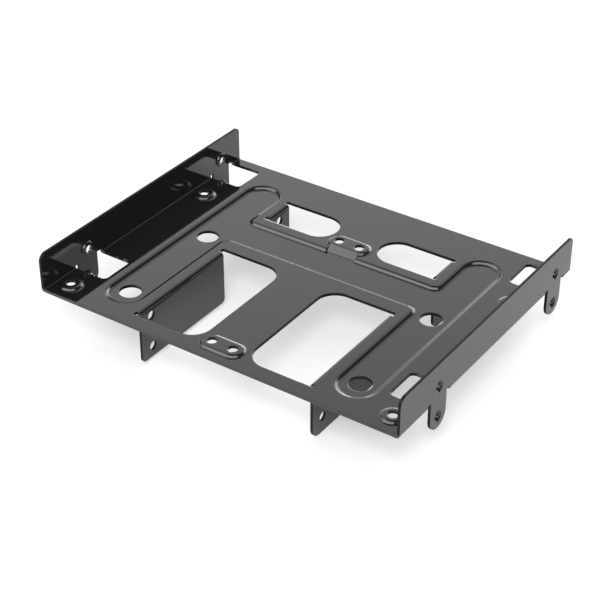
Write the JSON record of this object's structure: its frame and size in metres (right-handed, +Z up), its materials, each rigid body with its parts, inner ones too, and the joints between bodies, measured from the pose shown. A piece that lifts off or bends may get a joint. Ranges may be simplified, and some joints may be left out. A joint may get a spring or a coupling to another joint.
{
  "type": "drive bay adapter bracket",
  "caption": "Folded sheet metal bracket that carries small drives in a wide computer bay, with side flanges, tabs, a pressed recess and raised screw bosses.",
  "frame": {"origin": "middle of the footprint, at the bottom edge of the longest drive flange", "axes": "+Z up out of the plate, +Y back into the bay, +X to the right across the bay"},
  "size_m": [0.146, 0.115, 0.0367],
  "materials": {
    "black_coat": "smooth gloss black coating"
  },
  "bodies": {
    "root": {"bracket": "black_coat"}
  },
  "joints": []
}
